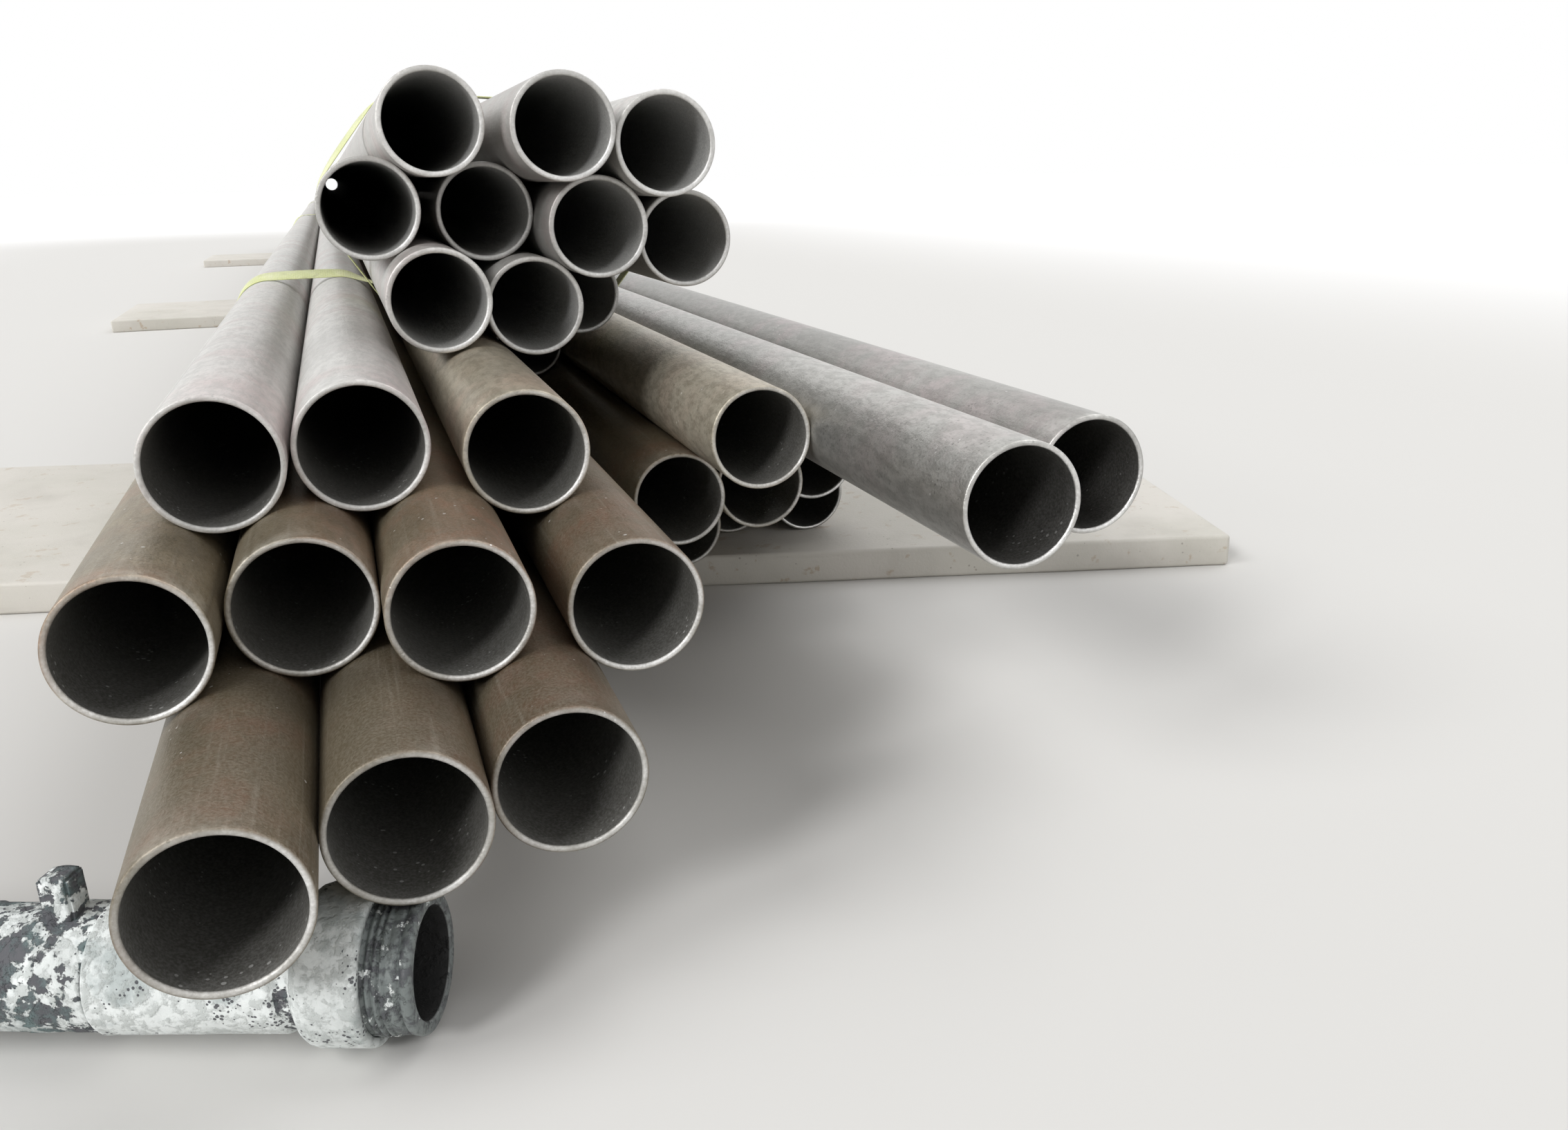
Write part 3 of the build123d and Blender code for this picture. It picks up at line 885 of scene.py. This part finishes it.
def slab_mesh(name, size, rounding, matrix, rng):
    """A board or batten: rounded all round, with faintly uneven faces."""
    length, width, thickness = size
    turns = [k * math.pi / 6 for k in range(3, -1, -1)]
    corner = [(rounding * (1 - math.sin(turn)), rounding * (1 - math.cos(turn))) for turn in turns]
    flat = length / 2 - rounding
    rows = [(-length / 2 + back, inset) for back, inset in corner]
    rows += [(x, 0.0) for x in np.linspace(-flat, flat, SLAB_ROWS)[1:-1]]
    rows += [(length / 2 - back, inset) for back, inset in reversed(corner)]
    shift = rng.uniform(0, 50)
    rings = []
    for x, inset in rows:
        section = slab_section(width - 2 * inset, thickness - 2 * inset,
                               max(rounding - inset, 0.1 * MM))
        spots = [Vector((x * DIPS_ALONG + shift, y * DIPS_ACROSS, z * DIPS_ACROSS))
                 for y, z in section]
        dips = [SLAB_DIP * (noise.noise(spot) - 0.6) for spot in spots]
        section = section * (1 + np.array(dips)[:, None] / thickness)
        rings.append(np.column_stack([np.full(len(section), x), section]))
    points = np.stack(rings)
    count, columns = points.shape[:2]
    index = np.arange(count * columns).reshape(count, columns)
    ahead = np.roll(index, -1, 1)
    faces = np.stack([index[:-1], ahead[:-1], ahead[1:], index[1:]], -1).reshape(-1, 4).tolist()
    faces += [index[0][::-1].tolist(), index[-1].tolist()]
    mesh = bpy.data.meshes.new(name)
    mesh.from_pydata(points.reshape(-1, 3).tolist(), [], faces)
    mesh.transform(matrix)
    mesh.shade_smooth()
    mesh.set_sharp_from_angle(angle=SHARP_ANGLE)
    edge = np.exp(-(width / 2 - np.abs(points[:, :, 1])) / (2 * rounding))
    point_values(mesh, "edge", edge)
    return mesh


def make_slabs(nodes, length, width, rounding, skew, seed, material):
    """Makes a board or batten for each node, the first one turned by the skew."""
    for number, node in enumerate(nodes):
        low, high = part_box(node)
        turn = Matrix.Rotation(skew if number == 0 else 0.0, 4, "Z")
        matrix = Matrix.Translation(centre(node)) @ turn
        size = (length, width, high.z - low.z)
        mesh = slab_mesh(f"{node}_fine", size, rounding, matrix, random.Random(seed + number))
        place(mesh, [node], material)


def old_pipe_matrix(look):
    """From the pipe's own axis, with the collar's middle at 0, to its place on the floor."""
    lean = math.asin((look.collar_radius - look.pipe_radius) / look.body_reach)
    level = math.cos(lean)
    heading = Vector((math.cos(look.skew) * level, math.sin(look.skew) * level, math.sin(lean)))
    upwards = heading.cross(Vector((0, 0, 1))).cross(heading).normalized()
    sideways = heading.cross(upwards)
    turn = Matrix((upwards, sideways, heading)).transposed().to_4x4()
    return Matrix.Translation(centre("collar")) @ turn


def crust(point, depth):
    """Height of the flaking crust at a point."""
    broad = noise.noise(point * BROAD_LUMPS)
    fine = noise.noise(point * FINE_LUMPS + Vector((3, 1, 7)))
    flake = 0.5 if broad > 0.05 else 0.0
    return depth * (0.5 * broad + 0.25 * fine + flake - 0.35)


def turned_mesh(name, outline, shift, depth, matrix):
    """A turned piece from a closed outline of (distance along, radius, crust share)."""
    angles = np.linspace(0, TAU, TURNED_POINTS, endpoint=False)
    points = np.empty((len(outline), TURNED_POINTS, 3))
    for i, (z, radius, share) in enumerate(outline):
        for j, angle in enumerate(angles):
            direction = Vector((math.cos(angle), math.sin(angle), 0))
            spot = direction * radius + Vector((0, 0, z))
            lift = crust(spot + Vector((shift, 0, 0)), depth) * share
            points[i, j] = spot + direction * lift
    mesh = wrapped_mesh(name, points)
    mesh.transform(matrix)
    return mesh


def old_pipe_outline(look):
    """Outline of the old pipe, by rings: distance along, radius, crust share and PIPE_VALUES."""
    bore = look.pipe_radius - look.pipe_wall
    shoulder = look.collar_length / 2
    far, near = -look.body_reach, look.barrel_reach
    sleeve, groove = -89 * MM, -shoulder - 8 * MM

    def painted(z, height, share, flaking_and_shade):
        return z, look.pipe_radius + height * MM, share, 0, 0, flaking_and_shade

    def threaded(z, height, share):
        return z, look.barrel_radius + height * MM, share, 0, 1, 0.5

    def inner(z, share=0.0):
        return z, bore, share, 1, 0, 0.5

    outline = [inner(far), painted(far, -1.5, 0.3, 0.7), painted(far + 1.5 * MM, 0, 0.6, 0.7)]
    outline += [painted(z, -0.5, 1.0, BODY_FLAKING)
                for z in np.arange(far + 4 * MM, sleeve, PIPE_RING_STEP)]
    # Just before the sleeve's step the flaking runs to 1.4, a dark ring that paints the shade at
    # the foot of the step
    outline += [painted(sleeve - 0.6 * MM, -0.8, 0.2, 1.4),
                painted(sleeve - 0.1 * MM, -0.6, 0.1, 1.4),
                painted(sleeve + 0.1 * MM, 0.4, 0.1, 0.2),
                painted(sleeve + 0.8 * MM, 0.7, 0.2, 0.2)]
    outline += [painted(z, 0.4, 0.5, 0.25 if z < sleeve + 30 * MM else 0.05)
                for z in np.arange(sleeve + 2 * MM, groove, PIPE_RING_STEP)]
    outline += [painted(groove, 0.2, 0.3, 0.2), painted(groove + 1 * MM, -0.9, 0.2, 0.6),
                painted(groove + 6 * MM, -0.9, 0.3, 0.6),
                painted(-shoulder - 1.0 * MM, 0, 0.3, 0.4),
                (-shoulder, look.barrel_radius - 0.4 * MM, 0.0, 0, 0, 0.4),
                threaded(shoulder, -0.4, 0.0)]
    start = shoulder + 0.8 * MM
    outline += [threaded(start + (turn + step) * look.pitch, height, 0.25)
                for turn in range(THREADS)
                for step, height in ((0.0, -1.2), (0.30, -1.2), (0.45, -0.1), (0.85, -0.1))]
    band = start + THREADS * look.pitch
    outline += [threaded(band + s * MM, height, 0.5)
                for s, height in ((0.2, -0.9), (1.4, -0.6), (2.8, -0.5), (4.0, -0.6), (4.6, -1.5),
                                  (5.2, -1.5), (5.7, -0.3))]
    outline += [threaded(near - 1.6 * MM, 0, 0.3), threaded(near - 0.5 * MM, -0.4, 0.3),
                threaded(near, -1.4, 0.2), (near, bore + 0.8 * MM, 0.2, 0, 1, 0.5),
                inner(near - 0.8 * MM, 0.1)]
    outline += [inner(z) for z in np.linspace(near - 5 * MM, far + 5 * MM, 12)]
    return outline


def collar_outline(look):
    """Outline of the collar: distance along, radius and crust share of each ring."""
    half, radius, bore = look.collar_length / 2, look.collar_radius, look.barrel_radius + 0.1 * MM
    outline = [(-half, bore, 0.0), (-half, radius - 4.0 * MM, 0.2),
               (-half + 1.2 * MM, radius - 2.2 * MM, 0.4),
               (-half + 3.2 * MM, radius - 0.8 * MM, 0.6)]
    outline += [(z, radius - 0.1 * MM, 0.7)
                for z in np.arange(-half + 5.5 * MM, half - 2.0 * MM, COLLAR_RING_STEP)]
    outline += [(half - 1.0 * MM, radius - 0.3 * MM, 0.5), (half, radius - 1.3 * MM, 0.3),
                (half, bore, 0.0)]
    return outline


def even_values(mesh, flaking_and_shade):
    """Says of each point of a crusted piece that it is outside, not bare, and how far it flakes."""
    for name, value in zip(PIPE_VALUES, (0.0, 0.0, flaking_and_shade)):
        point_values(mesh, name, np.full(len(mesh.vertices), value))


def lug_mesh(look, matrix):
    """The square lug on the old pipe: a lumpy block with soft corners."""
    block = bmesh.new()
    bmesh.ops.create_cube(block, size=1.0)
    bottom = look.pipe_radius * LUG_ROOT
    top = look.pipe_radius + look.lug_rise
    bmesh.ops.scale(block, verts=block.verts, vec=(top - bottom, look.lug_size, look.lug_size))
    bmesh.ops.bevel(block, geom=block.edges[:], offset=LUG_ROUNDING, segments=2, affect="EDGES")
    bmesh.ops.subdivide_edges(block, edges=block.edges[:], cuts=5, use_grid_fill=True)
    for vertex in block.verts:
        vertex.co.x += (top + bottom) / 2
        vertex.co.z -= look.lug_place
        bump = noise.noise(vertex.co * 130) * 0.8 * MM
        vertex.co.x += bump * (1 if vertex.co.x > look.pipe_radius else 0)
        vertex.co.y += noise.noise(vertex.co * 110 + Vector((5, 5, 5))) * 0.7 * MM
    mesh = bpy.data.meshes.new("lug")
    block.to_mesh(mesh)
    block.free()
    mesh.transform(matrix)
    return mesh


def joined(name, *meshes):
    """One mesh made from several, with the numbers that each point keeps."""
    whole = bmesh.new()
    for mesh in meshes:
        whole.from_mesh(mesh)
    mesh = bpy.data.meshes.new(name)
    whole.to_mesh(mesh)
    whole.free()
    mesh.shade_smooth()
    return mesh


# Operators

class TUBESTACK_OT_tubes(bpy.types.Operator):
    """Make every tube of the stack with its sawn rims"""
    bl_idname = "tubestack.tubes"
    bl_label = "Tubes"

    def execute(self, context):
        look = context.scene.tube_stack
        steels = {kind: tube_steel(f"{kind} tube steel", getattr(look, f"{kind}_tubes"))
                  for kind in ("lower", "pale", "bright", "upper")}
        for number, node in enumerate(TUBE_NODES):
            is_upper = node.startswith("upper")
            wall = look.tubes.thick_wall if is_upper else look.tubes.thin_wall
            kind = "upper" if is_upper else "lower"
            if node in SHEEN_PALE_TUBES:
                kind = "pale"
            elif node in BRIGHT_TUBES:
                kind = "bright"
            mesh = tube_mesh(node, look.tubes, wall, random.Random(TUBE_SEED + number))
            place(mesh, [node], steels[kind])
        return {"FINISHED"}


class TUBESTACK_OT_straps(bpy.types.Operator):
    """Make the plastic straps round the bundles"""
    bl_idname = "tubestack.straps"
    bl_label = "Straps"

    def execute(self, context):
        look = context.scene.tube_stack.straps
        plastic = strap_plastic(look)
        for node in STRAP_NODES:
            place(strap_mesh(node, look), [node], plastic)
        return {"FINISHED"}


class TUBESTACK_OT_boards(bpy.types.Operator):
    """Make the pale boards under the stack"""
    bl_idname = "tubestack.boards"
    bl_label = "Boards"

    def execute(self, context):
        look = context.scene.tube_stack.timber
        make_slabs(BOARD_NODES, look.board_length, look.board_width, look.rounding, look.skew,
                   BOARD_SEED, board_paint(look))
        return {"FINISHED"}


class TUBESTACK_OT_battens(bpy.types.Operator):
    """Make the sawn battens between the boards and the left bundle"""
    bl_idname = "tubestack.battens"
    bl_label = "Battens"

    def execute(self, context):
        look = context.scene.tube_stack.timber
        make_slabs(BATTEN_NODES, look.batten_length, look.batten_width, BATTEN_ROUNDING, look.skew,
                   BATTEN_SEED, sawn_wood(look))
        return {"FINISHED"}


class TUBESTACK_OT_old_pipe(bpy.types.Operator):
    """Make the old threaded pipe and the collar on it"""
    bl_idname = "tubestack.old_pipe"
    bl_label = "Old pipe"

    def execute(self, context):
        look = context.scene.tube_stack.old_pipe
        iron = crusted_iron(look)
        matrix = old_pipe_matrix(look)
        outline = old_pipe_outline(look)
        body = turned_mesh("body", [ring[:3] for ring in outline], 0.0, look.crust_depth, matrix)
        for column, name in enumerate(PIPE_VALUES, 3):
            values = [float(ring[column]) for ring in outline]
            point_values(body, name, np.repeat(values, TURNED_POINTS))
        lug = lug_mesh(look, matrix)
        even_values(lug, BODY_FLAKING)
        place(joined("old_pipe_fine", body, lug), ["old_pipe"], iron)

        collar = turned_mesh("collar_fine", collar_outline(look), 1.7, 0.6 * look.crust_depth,
                             matrix)
        even_values(collar, COLLAR_FLAKING)
        place(collar, ["collar"], iron)
        return {"FINISHED"}


class TUBESTACK_OT_stage(bpy.types.Operator):
    """Make the plain floor, the soft light and the camera"""
    bl_idname = "tubestack.stage"
    bl_label = "Stage"

    def execute(self, context):
        look = context.scene.tube_stack.stage
        self.make_floor(look)
        self.make_light(look)
        self.make_camera(context, look)
        context.scene.view_settings.view_transform = "Standard"
        return {"FINISHED"}

    def make_floor(self, look):
        """A wide plain floor that turns white far from the stack."""
        mesh = bpy.data.meshes.new("floor")
        reach = FLOOR_REACH
        corners = [(-reach, -reach, 0), (reach, -reach, 0), (reach, reach, 0), (-reach, reach, 0)]
        mesh.from_pydata(corners, [], [(0, 1, 2, 3)])
        floor = bpy.data.objects.new("floor", mesh)
        bpy.context.scene.collection.objects.link(floor)
        floor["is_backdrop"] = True
        paint = Finish("floor", 0.9)
        apart = vector_maths(paint.tree, "ABSOLUTE", paint.where)
        beyond = vector_maths(paint.tree, "SUBTRACT", apart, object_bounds()[1])
        outside = vector_maths(paint.tree, "MAXIMUM", beyond, (0.0, 0.0, 0.0))
        far = vector_maths(paint.tree, "LENGTH", outside, output="Value")
        white = paint.math("MULTIPLY", seen_ray(paint.tree),
                           map_range(paint.tree, far, *FLOOR_FADE))
        paint.feed("Base Color", paint.mix(white, look.floor, (0.0, 0.0, 0.0)))
        paint.shader.inputs["Emission Color"].default_value = (1.0, 1.0, 1.0, 1.0)
        paint.feed("Emission Strength", white)
        mesh.materials.append(paint.material)

    def make_light(self, look):
        """Even light from all round, a window's light from the front left and soft lamps above."""
        world = bpy.data.worlds.new("studio")
        bpy.context.scene.world = world
        world.use_nodes = True
        tree = world.node_tree
        background = tree.nodes["Background"]
        strength = map_range(tree, seen_ray(tree), 0.0, 1.0, look.sky, 1.0)
        tree.links.new(strength, background.inputs["Strength"])
        background.inputs["Color"].default_value = (1.0, 1.0, 1.0, 1.0)
        for name, towards, softness, strength in (
                ("window", (-2.9, -2.3, 2.0), 14.0, look.window_light),
                ("left", (-4.0, -0.6, 3.2), 28.0, look.left_light),
                ("right", (2.6, 1.2, 3.8), 50.0, look.right_light),
                ("front", (1.3, -2.4, 1.1), 40.0, look.front_light)):
            lamp = bpy.data.lights.new(name, "SUN")
            lamp.angle = math.radians(softness)
            lamp.energy = strength
            holder = bpy.data.objects.new(name, lamp)
            holder.rotation_mode = "QUATERNION"
            holder.rotation_quaternion = Vector(towards).to_track_quat("Z", "Y")
            bpy.context.scene.collection.objects.link(holder)

    def make_camera(self, context, look):
        """The camera, just above and before the foremost tube mouth."""
        low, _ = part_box("left_bottom_tube_1")
        mouth = centre("left_bottom_tube_1")
        mouth.y = low.y
        camera = bpy.data.cameras.new("camera")
        camera.sensor_width = 36.0
        camera.lens = look.lens
        camera.clip_start = 0.01
        holder = bpy.data.objects.new("camera", camera)
        holder.location = mouth + Vector(look.eye)
        turn = Matrix.Rotation(-look.turn, 4, "Z")
        tilt = Matrix.Rotation(math.pi / 2 + look.tilt, 4, "X")
        roll = Matrix.Rotation(look.roll, 4, "Z")
        holder.rotation_euler = (turn @ tilt @ roll).to_euler()
        context.scene.collection.objects.link(holder)
        context.scene.camera = holder


class TUBESTACK_PT_panel(bpy.types.Panel):
    """The stack's sizes, colours and pieces in the sidebar"""
    bl_label = "Tube stack"
    bl_space_type = "VIEW_3D"
    bl_region_type = "UI"
    bl_category = "Tube stack"

    def draw(self, context):
        look = context.scene.tube_stack
        for operator in OPERATORS:
            self.layout.operator(operator.bl_idname)
        for part in TubeStackLook.__annotations__:
            box = self.layout.box()
            group = getattr(look, part)
            for name in group.__annotations__:
                box.prop(group, name)


LOOKS = (LowerTubeLook, SheenPaleTubeLook, BrightTubeLook, UpperTubeLook, TubeShape, StrapLook,
         TimberLook, OldPipeLook, StageLook, TubeStackLook)
OPERATORS = (TUBESTACK_OT_tubes, TUBESTACK_OT_straps, TUBESTACK_OT_boards, TUBESTACK_OT_battens,
             TUBESTACK_OT_old_pipe, TUBESTACK_OT_stage)
CLASSES = (*LOOKS, *OPERATORS, TUBESTACK_PT_panel)


def register():
    """Makes the sizes, colours, operators and panel known to Blender."""
    for known in CLASSES:
        bpy.utils.register_class(known)
    bpy.types.Scene.tube_stack = PointerProperty(type=TubeStackLook)


def unregister():
    """Takes them away again."""
    del bpy.types.Scene.tube_stack
    for known in reversed(CLASSES):
        bpy.utils.unregister_class(known)


def main():
    """Builds every piece and the stage."""
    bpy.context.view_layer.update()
    register()
    SHARED.update({group.name: group for group in (patches_group(), draw_lines_group(),
                                                   specks_group(), grain_group())})
    bpy.ops.tubestack.tubes()
    bpy.ops.tubestack.straps()
    bpy.ops.tubestack.boards()
    bpy.ops.tubestack.battens()
    bpy.ops.tubestack.old_pipe()
    bpy.ops.tubestack.stage()


if __name__ == "__main__":
    main()
